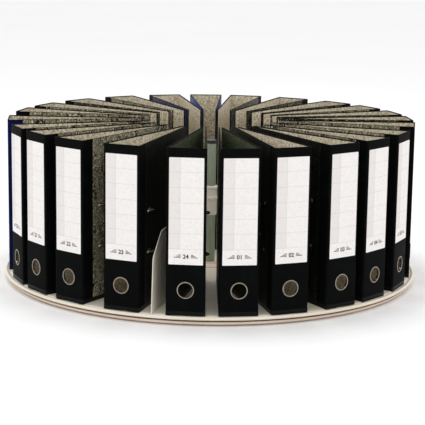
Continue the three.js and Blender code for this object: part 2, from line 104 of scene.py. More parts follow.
# ---- materials ------------------------------------------------------------------------------
class Look:
    """A material being wired: add() puts in one node with its settings and links."""

    def __init__(self, name, **surface):
        self.material = bpy.data.materials.new(name)
        self.material.use_nodes = True
        self.nodes = self.material.node_tree.nodes
        self.links = self.material.node_tree.links
        self.shader = self.nodes["Principled BSDF"]
        for socket, value in surface.items():
            self.shader.inputs[socket.replace("_", " ")].default_value = value

    def add(self, kind, links=None, settings=None, **values):
        node = self.nodes.new(kind)
        for name, value in (settings or {}).items():
            setattr(node, name, value)
        for name, value in values.items():
            node.inputs[name.replace("_", " ")].default_value = value
        for name, source in (links or {}).items():
            self.links.new(source, node.inputs[name])
        return node

    def place(self, kind="Object"):
        return self.add("ShaderNodeTexCoord").outputs[kind]

    def ramp(self, source, stops):
        """Colours or greys against the source, each stop its place and its colour."""
        node = self.add("ShaderNodeValToRGB", {"Fac": source})
        while len(node.color_ramp.elements) < len(stops):
            node.color_ramp.elements.new(0.5)
        for element, (at, colour) in zip(node.color_ramp.elements, stops):
            element.position = at
            element.color = linear(colour) if isinstance(colour, str) else (colour,) * 3 + (1,)
        return node.outputs["Color"]

    def noise(self, where, size_mm, detail=4.0, rough=0.5, stretch=(1, 1, 1)):
        """Noise whose blotches measure about size_mm, stretched along the axes."""
        scaled = self.add("ShaderNodeMapping", {"Vector": where},
                          Scale=[1000 / size_mm / s for s in stretch])
        return self.add("ShaderNodeTexNoise", {"Vector": scaled.outputs[0]},
                        Scale=1.0, Detail=detail, Roughness=rough).outputs["Fac"]

    def mix(self, share, first, second):
        node = self.add("ShaderNodeMix", settings={"data_type": "RGBA"})
        for socket, source in ((0, share), (6, first), (7, second)):
            if isinstance(source, (int, float)):
                node.inputs[socket].default_value = source
            elif isinstance(source, str):
                node.inputs[socket].default_value = linear(source)
            else:
                self.links.new(source, node.inputs[socket])
        return node.outputs[2]

    def colour(self, source):
        self.links.new(source, self.shader.inputs["Base Color"])

    def roughness(self, source, low, high):
        node = self.add("ShaderNodeMapRange", {"Value": source}, To_Min=low, To_Max=high)
        self.links.new(node.outputs[0], self.shader.inputs["Roughness"])

    def bump(self, source, depth_mm, strength=1.0):
        node = self.add("ShaderNodeBump", {"Height": source}, Strength=strength,
                        Distance=depth_mm * MM)
        self.links.new(node.outputs[0], self.shader.inputs["Normal"])


def moulded_plastic(name, colour, shade, roughness):
    """Injection moulded polystyrene: fine spark-eroded grain, soft gloss, faint yellowing."""
    look = Look(name, Roughness=roughness, IOR=1.52)
    where = look.place()
    clouds = look.noise(where, 140, 3)
    look.colour(look.mix(look.ramp(clouds, [(0.35, 0.0), (0.7, 1.0)]), colour, shade))
    look.roughness(look.noise(where, 9, 5), roughness - 0.07, roughness + 0.1)
    look.bump(look.noise(where, 1.2, 2), 0.05, 0.35)  # real grain is 0.1 mm, too fine to show
    return look.material


def cloth(name, colour, worn):
    """Book cloth: plain woven cotton, dyed and filled, so it is matt with a dry sheen."""
    look = Look(name, Roughness=0.8, IOR=1.45, Specular_IOR_Level=0.06)
    thread = 1.1 * MM  # real threads are 0.4 mm apart; this is as fine as shows
    scale = math.tau / 20 / thread
    uv = look.place("UV")
    warp = look.add("ShaderNodeTexWave", {"Vector": uv},
                    {"wave_type": "BANDS", "bands_direction": "X"},
                    Scale=scale, Distortion=0.6, Detail=1.0)
    weft = look.add("ShaderNodeTexWave", {"Vector": uv},
                    {"wave_type": "BANDS", "bands_direction": "Y"},
                    Scale=scale, Distortion=0.6, Detail=1.0)
    weave = look.mix(0.5, warp.outputs["Fac"], weft.outputs["Fac"])
    rubbed = look.ramp(look.noise(look.place(), 34, 6, 0.65), [(0.5, 0.0), (0.78, 1.0)])
    look.colour(look.mix(rubbed, colour, worn))
    look.roughness(rubbed, 0.7, 0.85)
    look.bump(weave, 0.12, 0.4)
    return look.material


def marbled_paper(name, dark, vein, fleck, cover):
    """Cloud marbled cover paper: combed dark blots with paler veins and flecks, light varnish."""
    look = Look(name, Roughness=0.55, IOR=1.47, Specular_IOR_Level=0.12)
    where = look.place()
    drift = look.add("ShaderNodeTexNoise", {"Vector": where}, Scale=45.0, Detail=2.0)
    pulled = look.add("ShaderNodeVectorMath", {0: drift.outputs["Color"]},
                      {"operation": "SCALE"}, Scale=0.02)
    moved = look.add("ShaderNodeVectorMath", {0: where, 1: pulled.outputs[0]},
                     {"operation": "ADD"})
    blots = look.noise(moved.outputs[0], 11, 6, 0.62, (1, 1, 1.7))
    flecks = look.noise(moved.outputs[0], 3.4, 3, 0.6)
    base = look.ramp(blots, [(0.0, dark), (cover, dark), (cover + 0.09, vein), (1.0, vein)])
    spots = look.ramp(flecks, [(0.54, 0.0), (0.63, 1.0)])
    look.colour(look.mix(spots, base, fleck))
    look.roughness(blots, 0.38, 0.55)
    look.bump(flecks, 0.04, 0.3)
    return look.material


def lining_paper(name, tones, cloud):
    """Lining paper with a fine mottle through tones, dark to pale, uncoated."""
    look = Look(name, Roughness=0.85, IOR=1.45, Specular_IOR_Level=0.2)
    where = look.place()
    mottle = look.noise(where, 4.6, 5, 0.72)
    clouds = look.noise(where, 60, 3)
    base = look.ramp(mottle, list(zip((0.36, 0.46, 0.56, 0.66), tones)))
    look.colour(look.mix(look.ramp(clouds, [(0.4, 0.0), (0.65, 0.35)]), base, cloud))
    look.bump(mottle, 0.03, 0.3)
    return look.material


def label_paper():
    """Smooth white label stock with faint printed rules; UV runs across and up in metres."""
    look = Look("label_paper", Roughness=0.7, IOR=1.45)
    uv = look.add("ShaderNodeSeparateXYZ", {0: look.place("UV")})
    across, up = uv.outputs["X"], uv.outputs["Y"]

    def rule(source, at, pitch, width):
        shifted = look.add("ShaderNodeMath", {0: source}, {"operation": "SUBTRACT"})
        shifted.inputs[1].default_value = at
        folded = look.add("ShaderNodeMath", {0: shifted.outputs[0]}, {"operation": "PINGPONG"})
        folded.inputs[1].default_value = pitch / 2
        line = look.add("ShaderNodeMath", {0: folded.outputs[0]}, {"operation": "LESS_THAN"})
        line.inputs[1].default_value = width / 2
        return line.outputs[0]

    rows = rule(up, 30 * MM, 29 * MM, 0.7 * MM)
    columns = rule(across, 21 * MM, 200 * MM, 0.7 * MM)
    margin = look.add("ShaderNodeMath", {0: across}, {"operation": "LESS_THAN"})
    margin.inputs[1].default_value = 21 * MM
    body = look.add("ShaderNodeMath", {0: up}, {"operation": "GREATER_THAN"})
    body.inputs[1].default_value = 29 * MM
    tint = look.add("ShaderNodeMath", {0: margin.outputs[0], 1: body.outputs[0]},
                    {"operation": "MULTIPLY"})
    fibre = look.noise(look.place(), 5, 5, 0.6)
    paper = look.mix(look.ramp(fibre, [(0.4, 0.0), (0.7, 1.0)]), "#f4f1ef", "#ece7e4")
    tinted = look.mix(look.ramp(tint.outputs[0], [(0.0, 0.0), (1.0, 0.45)]), paper, "#dcd6d2")
    lines = look.add("ShaderNodeMath", {0: rows, 1: columns}, {"operation": "MAXIMUM"})
    ruled = look.add("ShaderNodeMath", {0: lines.outputs[0], 1: body.outputs[0]},
                     {"operation": "MULTIPLY"})
    look.colour(look.mix(look.ramp(ruled.outputs[0], [(0.0, 0.0), (1.0, 0.5)]), tinted, "#b9b3b0"))
    return look.material


def printing_ink():
    """Offset printed black, a little browned and uneven."""
    look = Look("printing_ink", Roughness=0.6)
    patches = look.noise(look.place(), 1.5, 3)
    look.colour(look.mix(patches, "#1b1715", "#3a322d"))
    return look.material


def bright_nickel():
    """Aged nickel plate on pressed steel: warm, a little dulled, with a fine polishing haze."""
    look = Look("aged_nickel", Metallic=1.0, Roughness=0.2)
    where = look.place()
    haze = look.noise(where, 6, 4)
    look.colour(look.mix(haze, "#a89e90", "#7c7367"))
    look.roughness(haze, 0.14, 0.32)
    return look.material


def zinc_steel():
    """Zinc plated mild steel sheet: grey spangle and rolling lines along its length."""
    look = Look("zinc_plated_steel", Metallic=1.0, Roughness=0.35)
    where = look.place()
    spangle = look.noise(where, 7, 3)
    rolled = look.noise(where, 1.5, 4, 0.6, (1, 1, 30))
    look.colour(look.mix(spangle, "#a9abad", "#85888c"))
    look.roughness(rolled, 0.28, 0.5)
    look.bump(rolled, 0.02, 0.3)
    return look.material


def enamel(name, colour, shade, gloss=0.5):
    """Stoved enamel on steel: smooth, with a slight orange peel; gloss is its specular level."""
    look = Look(name, Roughness=0.3, IOR=1.5, Specular_IOR_Level=gloss)
    where = look.place()
    streaks = look.noise(where, 18, 5, 0.6, (1, 1, 5))
    look.colour(look.mix(look.ramp(streaks, [(0.35, 0.0), (0.7, 1.0)]), colour, shade))
    look.roughness(streaks, 0.24, 0.42)
    look.bump(look.noise(where, 4, 2), 0.06, 0.3)
    return look.material


def rubber():
    """Black nitrile rubber, moulded: matt, dusty in patches."""
    look = Look("moulded_rubber", Roughness=0.85)
    dust = look.noise(look.place(), 12, 5)
    look.colour(look.mix(look.ramp(dust, [(0.45, 0.0), (0.8, 1.0)]), "#1d1d1e", "#35332f"))
    look.bump(look.noise(look.place(), 0.8, 2), 0.05, 0.4)
    return look.material


CREAM = moulded_plastic("cream_polystyrene", "#efe7d8", "#e6dcc8", 0.38)
BASE_CREAM = moulded_plastic("base_polystyrene", "#e6d3c2", "#dcc4b0", 0.42)
BLACK_PLASTIC = moulded_plastic("black_polystyrene", "#18181a", "#222224", 0.4)
BLACK_CLOTH = cloth("black_book_cloth", "#040505", "#0c0e0f")
BLUE_CLOTH = cloth("blue_book_cloth", "#0a1240", "#142056")
# Near-black copy of the cloud paper: painted shade for the front files' covers, which face away from the light
PAINTED_SHADE_MARBLE = marbled_paper("cloud_paper_painted_shade", "#040504", "#0d0e0b", "#33342a", 0.5)
OLIVE_MARBLE = marbled_paper("olive_cloud_paper", "#0b0c08", "#3c3a2b", "#9c9378", 0.47)
GREY_MARBLE = marbled_paper("grey_cloud_paper", "#17170f", "#7d775f", "#e2d9c0", 0.4)
BLUE_MARBLE = marbled_paper("blue_cloud_paper", "#14309a", "#2348b4", "#4a6cc8", 0.5)
NAVY_MARBLE = marbled_paper("navy_cloud_paper", "#0b0f2a", "#1d2a6a", "#3a4a86", 0.5)
LINING = lining_paper("beige_lining_paper", ("#7f7462", "#c9bea6", "#e8dfca", "#fbf5e8"),
                      "#bdb299")
# A darker olive copy of the beige lining: painted shade for the inside of the front files, seen through the finger
# holes
PAINTED_SHADE_LINING = lining_paper("lining_paper_painted_shade", ("#262b1c", "#3d4430", "#525a42", "#747b5e"),
                            "#3a402e")
LABEL = label_paper()
INK = printing_ink()
NICKEL = bright_nickel()
ZINC = zinc_steel()
COLUMN_ENAMEL = enamel("grey_green_enamel", "#98a38c", "#7f8b74")
RUBBER = rubber()
LACQUER = enamel("black_lacquered_steel", "#08090a", "#101112", 0.1)


# ---- surfaces -------------------------------------------------------------------------------
class Surface:
    """Points, faces as index rows, a material index for each face, and a UV pair per point."""

    def __init__(self, points, faces, material=0, uv=None):
        self.points = np.asarray(points, float)
        self.faces = [list(map(int, f)) for f in faces]
        self.material = np.broadcast_to(material, len(self.faces)).astype(int)
        self.uv = np.zeros((len(self.points), 2)) if uv is None else np.asarray(uv, float)

    def mapped(self, rows, shift=(0, 0, 0)):
        """Each point p becomes rows @ p + shift."""
        moved = self.points @ np.asarray(rows, float).T + np.asarray(shift, float)
        return Surface(moved, self.faces, self.material, self.uv)

    def moved(self, *shift):
        return self.mapped(np.eye(3), shift)


def turn(angle):
    """The rows that turn a point about the column by angle."""
    c, s = math.cos(angle), math.sin(angle)
    return [[c, -s, 0], [s, c, 0], [0, 0, 1]]


FACING_FRONT = [[1, 0, 0], [0, 0, -1], [0, 1, 0]]  # a lathe's axis turned from +Z to -Y
ACROSS = [[0, 0, 1], [1, 0, 0], [0, 1, 0]]  # a plate's own x and y become y and z
ALONG_X = [[0, 0, 1], [0, 1, 0], [-1, 0, 0]]  # a lathe's axis turned from +Z to +X


def mesh_of(name, surfaces, materials, smooth=38):
    """One mesh of several surfaces: doubles merged, then faces turned outwards."""
    starts = np.cumsum([0] + [len(s.points) for s in surfaces])
    points = np.concatenate([s.points for s in surfaces])
    faces = [[i + start for i in f] for s, start in zip(surfaces, starts) for f in s.faces]
    mesh = bpy.data.meshes.new(name)
    mesh.from_pydata(points.tolist(), [], faces)
    for material in materials:
        mesh.materials.append(material)
    mesh.polygons.foreach_set("material_index", np.concatenate(
        [s.material for s in surfaces]).astype(np.int32))
    corner = np.zeros(len(mesh.loops), np.int32)
    mesh.loops.foreach_get("vertex_index", corner)
    uv = np.concatenate([s.uv for s in surfaces]).astype(np.float32)
    mesh.uv_layers.new(name="UVMap").data.foreach_set("uv", uv[corner].ravel())
    work = bmesh.new()
    work.from_mesh(mesh)
    bmesh.ops.remove_doubles(work, verts=work.verts, dist=1e-7)
    stray = [edge for edge in work.edges if not edge.link_faces]  # left along a lathe's axis
    bmesh.ops.delete(work, geom=stray, context="EDGES")
    bmesh.ops.recalc_face_normals(work, faces=work.faces)
    work.to_mesh(mesh)
    work.free()
    mesh.polygons.foreach_set("use_smooth", np.ones(len(mesh.polygons), bool))
    mesh.set_sharp_from_angle(angle=math.radians(smooth))
    return mesh


def put(name, mesh, body, slot, *nodes):
    """A finished mesh as a piece that rides on body and stands for the CAD nodes named."""
    piece = bpy.data.objects.new(name, mesh)
    bpy.context.scene.collection.objects.link(piece)
    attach(piece, body)
    if nodes:
        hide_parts(*nodes)
    return piece


def grid_faces(rows, columns, close_rows=False, close_columns=False):
    """Quads of a grid of points stored row by row."""
    i = np.arange(rows if close_rows else rows - 1)
    j = np.arange(columns if close_columns else columns - 1)
    i, j = (a.ravel() for a in np.meshgrid(i, j, indexing="ij"))
    k, m = (i + 1) % rows, (j + 1) % columns
    return np.stack([i * columns + j, k * columns + j, k * columns + m, i * columns + m], axis=1)


def rounded(corners, radius, steps=4, closed=True):
    """An outline with each corner P replaced by the curve (1-t)^2 A + 2t(1-t) P + t^2 B,
    where A and B lie radius from P along its two sides, or less on a short side."""
    corners = np.asarray(corners, float)
    radii = np.broadcast_to(radius, len(corners))
    before, after = np.roll(corners, 1, 0), np.roll(corners, -1, 0)
    t = np.linspace(0, 1, steps + 1)[:, None]
    out = []
    for i, (p, a, b, r) in enumerate(zip(corners, before, after, radii)):
        if r <= 0 or (not closed and i in (0, len(corners) - 1)):
            out.append(p[None])
            continue
        to_a, to_b = a - p, b - p
        reach = min(r, 0.45 * np.linalg.norm(to_a), 0.45 * np.linalg.norm(to_b))
        start = p + to_a / np.linalg.norm(to_a) * reach
        end = p + to_b / np.linalg.norm(to_b) * reach
        out.append((1 - t) ** 2 * start + 2 * t * (1 - t) * p + t ** 2 * end)
    return np.concatenate(out)


def lathe(outline, radius, segments, steps=3):
    """A closed (r, z) outline turned about the Z axis: (r cos a, r sin a, z)."""
    profile = rounded(outline, radius, steps) if np.any(np.asarray(radius) > 0) else outline
    profile = np.asarray(profile, float)
    a = np.linspace(0, 2 * np.pi, segments, endpoint=False)[:, None]
    r, z = profile[:, 0], profile[:, 1]
    points = np.stack([r * np.cos(a), r * np.sin(a),
                       np.broadcast_to(z, (segments, len(z)))], axis=2).reshape(-1, 3)
    return Surface(points, grid_faces(segments, len(profile), True, True))


def plate(outline, low, high, bevel=0.3 * MM, material=0):
    """A closed flat outline in x and y given thickness from z low to z high, edges bevelled.
    Its UV is the outline's own x and y, counted from its lowest corner."""
    outline = np.asarray(outline, float)
    n = len(outline)
    ahead, behind = np.roll(outline, -1, 0), np.roll(outline, 1, 0)
    along = (ahead - behind) / np.linalg.norm(ahead - behind, axis=1)[:, None]
    area = np.sum(outline[:, 0] * ahead[:, 1] - ahead[:, 0] * outline[:, 1])
    inward = np.stack([-along[:, 1], along[:, 0]], axis=1) * math.copysign(bevel, area)
    rings = [(outline + inward, low), (outline, low + bevel), (outline, high - bevel),
             (outline + inward, high)]
    points = np.concatenate([np.column_stack([xy, np.full(n, z)]) for xy, z in rings])
    faces = list(grid_faces(4, n, False, True))
    faces += [list(range(n)), list(range(4 * n - 1, 3 * n - 1, -1))]
    return Surface(points, faces, material, points[:, :2] - outline.min(0))


def sweep(path, section, material=0, cell_material=None):
    """A closed section of (outward, up) carried along a plan path and capped at both ends:
    path + normal * outward, up. UV is the length along the path and the height."""
    path, section = np.asarray(path, float), np.asarray(section, float)
    step = np.gradient(path, axis=0)
    step /= np.linalg.norm(step, axis=1)[:, None]
    normal = np.stack([step[:, 1], -step[:, 0]], axis=1)
    plan = path[:, None, :] + normal[:, None, :] * section[None, :, :1]
    up = np.broadcast_to(section[None, :, 1:], plan.shape[:2] + (1,))
    points = np.concatenate([plan, up], axis=2).reshape(-1, 3)
    length = np.concatenate([[0], np.cumsum(np.linalg.norm(np.diff(path, axis=0), axis=1))])
    uv = np.column_stack([np.repeat(length, len(section)), points[:, 2]])
    n, k = len(path), len(section)
    faces = list(grid_faces(n, k, False, True))
    faces += [list(range(k)), list(range(n * k - 1, (n - 1) * k - 1, -1))]
    cells = np.full(len(faces), material) if cell_material is None else np.append(
        cell_material.ravel(), [material, material])
    return Surface(points, faces, cells, uv)


def wire(path, radius, sides=10, material=0):
    """A round wire: at each point of the path a circle of that radius, square to the path."""
    path = np.asarray(path, float)
    step = np.gradient(path, axis=0)
    step /= np.linalg.norm(step, axis=1)[:, None]
    side = np.cross(step, [0.0, 0.0, 1.0])
    flat = np.linalg.norm(side, axis=1) < 0.1
    side[flat] = np.cross(step[flat], [1.0, 0.0, 0.0])
    side /= np.linalg.norm(side, axis=1)[:, None]
    other = np.cross(step, side)
    a = np.linspace(0, 2 * np.pi, sides, endpoint=False)
    ring = (side[:, None, :] * np.cos(a)[None, :, None]
            + other[:, None, :] * np.sin(a)[None, :, None]) * radius
    points = (path[:, None, :] + ring).reshape(-1, 3)
    n = len(path)
    faces = list(grid_faces(n, sides, False, True))
    faces += [list(range(sides - 1, -1, -1)), list(range((n - 1) * sides, n * sides))]
    return Surface(points, faces, material)


def cut(mesh, cutters):
    """The mesh with each cutter surface taken out of it."""
    whole = bpy.data.objects.new("being_cut", mesh)
    bpy.context.scene.collection.objects.link(whole)
    tools = []
    for i, surface in enumerate(cutters):
        tool = bpy.data.objects.new("cutter", mesh_of(f"cutter_{i}", [surface], mesh.materials))
        bpy.context.scene.collection.objects.link(tool)
        boolean = whole.modifiers.new("cut", "BOOLEAN")
        boolean.object = tool
        boolean.operation = "DIFFERENCE"
        boolean.solver = "EXACT"
        tools.append(tool)
    view = bpy.context.evaluated_depsgraph_get()
    made = bpy.data.meshes.new_from_object(whole.evaluated_get(view))
    for extra in [whole, *tools]:
        bpy.data.objects.remove(extra)
    made.set_sharp_from_angle(angle=math.radians(38))
    return made


# ---- stand, bearing and column --------------------------------------------------------------
BOLT_CIRCLE = 33 * MM  # radius of the flange's four bolts
DIVIDER_LEAN = 9 * MM  # how far a divider's outer edge leans in
DIVIDER_CORNER = (54 * MM, 42 * MM)  # its cut corner, along and up
HALF_DIVIDER = 0.75 * MM


def stand_pieces():
    """The fixed lower half: pan, feet, flange and column, turned from their outlines."""
    r, low, high = BASE_HIGH.x, BASE_LOW.z, BASE_HIGH.z
    sheet = SHEET
    pan = [(8 * MM, low), (r - 3 * MM, low), (r, low + 3 * MM), (r, high - 0.5 * MM),
           (r - 1.5 * MM, high), (r - 5 * MM, high), (r - 6 * MM, high - MM),
           (r - 6.5 * MM, low + sheet), (250 * MM, low + sheet), (246 * MM, low + 1.3 * sheet),
           (242 * MM, low + sheet), (8 * MM, low + sheet)]
    put("stand_base_pan", mesh_of("stand_base_pan", [lathe(pan, 1.2 * MM, 240)], [BASE_CREAM]),
        "stand", "base_plastic", "base_pan")
    for i in range(1, 5):
        foot_low, foot_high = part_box(f"foot_{i}")
        middle = (foot_low + foot_high) / 2
        radius, top = (foot_high.x - foot_low.x) / 2, foot_high.z
        outline = [(0, 0.6 * MM), (12 * MM, 0.6 * MM), (13 * MM, 0), (radius - 1.5 * MM, 0),
                   (radius, 1.2 * MM), (radius - 0.6 * MM, top), (0, top)]
        foot = lathe(outline, 0.4 * MM, 48).moved(middle.x, middle.y, 0)
        put(f"stand_foot_{i}", mesh_of("foot", [foot], [RUBBER]), "stand", "rubber", f"foot_{i}")

    r = COLUMN_HIGH.x
    tube = [(r - 2 * MM, COLUMN_LOW.z), (r, COLUMN_LOW.z), (r, COLUMN_HIGH.z),
            (r - 2 * MM, COLUMN_HIGH.z)]
    put("stand_column", mesh_of("column", [lathe(tube, 0.3 * MM, 64)], [COLUMN_ENAMEL]),
        "stand", "column_paint", "column")

    foot, top = COLUMN_HIGH.z, CAP_HIGH.z
    bore = r - 2.3 * MM
    cap = [(0, CAP_LOW.z), (bore, CAP_LOW.z), (bore, foot), (r + 0.5 * MM, foot),
           (r + 0.5 * MM, foot + 2 * MM), (r + 0.1 * MM, foot + 2.6 * MM),
           (r + 0.5 * MM, foot + 3.2 * MM), (r + 0.5 * MM, top - 2 * MM),
           (r - 1.5 * MM, top - 0.2 * MM), (4 * MM, top), (3 * MM, top - 0.6 * MM),
           (0, top - 0.6 * MM)]
    put("stand_column_cap", mesh_of("cap", [lathe(cap, 0.5 * MM, 64)], [BLACK_PLASTIC]),
        "stand", "black_plastic", "column_cap")

    bore, ridge = r + CLEARANCE, COLLAR_HIGH.x
    sleeve = ridge - 1.3 * MM
    z0, z4 = COLLAR_LOW.z, COLLAR_HIGH.z
    z3, z2, z1 = z4 - 7 * MM, z4 - 23 * MM, z4 - 30 * MM
    collar = [(bore, z0), (sleeve - 0.6 * MM, z0), (sleeve, z0 + 2 * MM), (sleeve, z1),
              (ridge, z1 + 0.6 * MM), (ridge, z2 - 0.6 * MM), (sleeve, z2), (sleeve, z3),
              (ridge, z3 + 0.6 * MM), (ridge, z4 - 0.8 * MM), (sleeve, z4), (bore, z4)]
    put("stand_stacking_collar", mesh_of("collar", [lathe(collar, 0.6 * MM, 72)], [CREAM]),
        "stand", "cream_plastic", "stacking_collar")

    low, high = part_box("column_flange")
    neck = bore + 4 * MM
    sheet = low.z + 3 * MM
    flange = [(bore, low.z), (high.x, low.z), (high.x, sheet), (neck + 3 * MM, sheet),
              (neck, sheet + 2 * MM), (neck, high.z), (bore, high.z)]
    bolt = [(0, sheet - MM), (5.2 * MM, sheet - MM), (5.2 * MM, sheet + 3.4 * MM),
            (4.6 * MM, sheet + 4 * MM), (0, sheet + 4 * MM)]
    bolts = [lathe(bolt, 0, 6).moved(BOLT_CIRCLE * math.cos(a), BOLT_CIRCLE * math.sin(a), 0)
             for a in np.radians([45, 135, 225, 315])]
    put("stand_column_flange", mesh_of("flange", [lathe(flange, 0.5 * MM, 72), *bolts], [ZINC]),
        "stand", "steel", "column_flange")


def turntable_pieces():
    """The tray with its rolled rim and gutter, the hub bush and the divider sheets."""
    edge, top, foot = TRAY_RADIUS, TRAY_TOP, TRAY_LOW.z
    sheet, dip = SHEET, 2 * MM
    bead = edge - 6 * MM
    gutter = bead - 6 * MM
    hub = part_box("hub_bush")[1].z
    bush = 15.35 * MM
    tray = [(bush, top - sheet), (gutter - 2 * MM, top - sheet), (gutter, top - dip - sheet),
            (bead + 0.5 * MM, top - dip - sheet), (bead + 0.5 * MM, foot + 0.6 * MM),
            (bead + 1.5 * MM, foot), (edge - 2.4 * MM, foot), (edge, foot + 2.2 * MM),
            (edge, top - 2.6 * MM), (edge - 2.6 * MM, top), (bead + 1.4 * MM, top),
            (bead, top - dip), (gutter + 1.6 * MM, top - dip), (gutter - 0.4 * MM, top),
            (bush, top)]
    put("turntable_tray", mesh_of("tray", [lathe(tray, 2.4 * MM, 288, steps=5)], [CREAM]),
        "turntable", "cream_plastic", "tray")

    bore, wall, flange = 11.05 * MM, 15.05 * MM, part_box("hub_bush")[1].x
    hub_outline = [(bore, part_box("hub_bush")[0].z), (wall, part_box("hub_bush")[0].z), (wall, top),
                   (flange, top), (flange - 0.8 * MM, top + 2 * MM), (wall + 2 * MM, top + 2 * MM),
                   (wall, top + 4 * MM), (wall - MM, hub), (bore, hub)]
    put("turntable_hub_bush", mesh_of("bush", [lathe(hub_outline, 0.7 * MM, 96)], [BASE_CREAM]),
        "turntable", "base_plastic", "hub_bush")

    for i in (1, 2, 3):
        put_divider(f"divider_{i}")


def put_divider(node):
    """A moulded sheet along the radius, its outer top corner cut away, corners rounded."""
    low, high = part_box(node)
    middle = (low + high) / 2
    angle = math.atan2(middle.x, -middle.y)
    points = node_points(node, angle)
    inner, outer = points[:, 1].min(), points[:, 1].max()
    top = high.z
    corner = outer - DIVIDER_LEAN
    along, up = DIVIDER_CORNER
    outline = [(inner, TRAY_TOP), (outer, TRAY_TOP), (corner, top - up),
               (corner - along, top), (inner, top)]
    shape = rounded(outline, [2 * MM, 1.5 * MM, 7 * MM, 9 * MM, 8 * MM], 5)
    surface = plate(shape, -HALF_DIVIDER, HALF_DIVIDER, 0.35 * MM)
    standing = surface.mapped([[0, 0, 1], [-1, 0, 0], [0, 1, 0]]).mapped(turn(angle))
    put(f"turntable_{node}", mesh_of(node, [standing], [CREAM]), "turntable", "cream_plastic",
        node)


# ---- one file, with its spine towards -Y ----------------------------------------------------
RAIL = 0.4 * MM  # sheet of the foot rail, on which the file stands
CASE_FOOT = TRAY_TOP + RAIL
CLOTH_WRAP = 30 * MM  # how far the spine cloth turns onto each cover
CLOTH, PAPER, INSIDE, EDGE = range(4)  # the case's materials


class Stance:
    """How far a file stands open, from its CAD node: its covers lean in by the taper, whose
    tangent is (half the spine's width - half the fore-edges' width) / the file's depth."""

    def __init__(self, body):
        node = "file_01_case" if body == "file_01" else body
        points = np.abs(node_points(node, FILE_ANGLES[body]))
        self.fore_half = points[points[:, 1] < FORE_RADIUS + MM, 0].max()
        self.taper = math.atan((SPINE_HALF - self.fore_half) / FILE_DEPTH)
        self.across = BOARD / math.cos(self.taper)

    def cover_point(self, side, back):
        """A point on a cover's middle line, back from the spine, on side -1 (left) or +1:
        the half width falls evenly from the spine's to the fore-edges'."""
        spine = SPINE_HALF - self.across / 2 - BOARD / 2 * math.tan(self.taper)
        fore = self.fore_half - self.across / 2
        share = back / (FILE_DEPTH - BOARD / 2)
        return (side * (spine + (fore - spine) * share), -SPINE_RADIUS + BOARD / 2 + back)

    def plan(self, from_fore):
        """The middle line of the case in plan, from the left cover round to the right one."""
        depth = FILE_DEPTH - BOARD / 2 - from_fore
        corners = [self.cover_point(-1, depth), self.cover_point(-1, CLOTH_WRAP),
                   self.cover_point(-1, 0), self.cover_point(1, 0),
                   self.cover_point(1, CLOTH_WRAP), self.cover_point(1, depth)]
        return rounded(corners, [0, 0, 3 * MM, 3 * MM, 0, 0], 5, closed=False)

    def place_mechanism(self, surface):
        """From the mechanism's frame (x off the back cover, y along it) to the file's."""
        corner = (-SPINE_HALF + self.across, -SPINE_RADIUS, 0)
        return surface.mapped(turn(-self.taper), corner)


def case_mesh(stance):
    """The board case: one section of the board's thickness and height carried round the left
    cover, the spine and the right cover, with the finger hole and two arch slots cut in it."""
    path = stance.plan(0)
    t, e, rim = BOARD / 2, 0.5 * MM, 2 * MM
    z0, z1 = CASE_FOOT, FILE_TOP
    section = [(t, z0 + e), (t, z1 - e), (t - e, z1), (-t + e, z1), (-t, z1 - e), (-t, z1 - rim),
               (-t, z0 + rim), (-t, z0 + e), (-t + e, z0), (t - e, z0)]
    outer, lining = 0, 5
    cells = np.full((len(path) - 1, len(section)), EDGE)
    middle_y = (path[1:, 1] + path[:-1, 1]) / 2
    wrapped = middle_y < stance.cover_point(1, CLOTH_WRAP)[1]
    cells[:, outer] = np.where(wrapped, CLOTH, PAPER)
    cells[:, lining] = INSIDE
    board = mesh_of("case", [sweep(path, section, EDGE, cells)],
                    [BLACK_CLOTH, PAINTED_SHADE_MARBLE, LINING, BLACK_CLOTH])
    bore = RING_RADIUS - 1.9 * MM
    hole = lathe([(0, -4 * MM), (bore, -4 * MM), (bore, 4 * MM), (0, 4 * MM)], 0, 48)
    hole = hole.mapped(FACING_FRONT, (0, -SPINE_RADIUS + BOARD / 2, HOLE_HEIGHT))
    return cut(board, [hole, *(arch_slot(stance, z) for z in ARCH_HEIGHTS)])


def in_mechanism(node):
    """The lowest and highest corner of a CAD node in the first file's mechanism frame."""
    stance = Stance("file_01")
    x, y, z = node_points(node, FIRST).T
    flat = np.column_stack([x + SPINE_HALF - stance.across, SPINE_RADIUS - y, z])
    flat = flat @ np.asarray(turn(stance.taper)).T
    return flat.min(0), flat.max(0)


ARCH_LOW, ARCH_HIGH = in_mechanism("file_01_arch_wire")
PLATE_LOW, PLATE_HIGH = in_mechanism("file_01_mechanism_base")
LEVER_LOW, LEVER_HIGH = in_mechanism("file_01_lever")
BAR_LOW, BAR_HIGH = in_mechanism("file_01_compressor_bar")
WIRE = 2 * MM
ARCH_HEIGHTS = (ARCH_LOW[2] + WIRE, ARCH_HIGH[2] - WIRE)
ARCH_Y = ARCH_LOW[1] + WIRE
POST_Y = (BAR_LOW[1] + BAR_HIGH[1]) / 2
ARCH_MIDDLE_Y = (ARCH_Y + POST_Y) / 2


def arch_slot(stance, z):
    """The cutter for one slot in the front cover: a round-ended bar across it."""
    half, tall = 14 * MM, 4.5 * MM
    outline = rounded([(-half, -tall), (half, -tall), (half, tall), (-half, tall)], 4.4 * MM, 5)
    bar = plate(outline, -6 * MM, 6 * MM, 0.01 * MM).mapped(ACROSS)
    taper = stance.taper
    reach = 2 * (SPINE_HALF - stance.across - ARCH_MIDDLE_Y * math.tan(taper))
    back = ARCH_MIDDLE_Y * math.cos(taper) - (reach + BOARD) * math.sin(taper) - BOARD / 2
    x, y = stance.cover_point(1, back)
    return bar.mapped(turn(taper), (x, y, z))


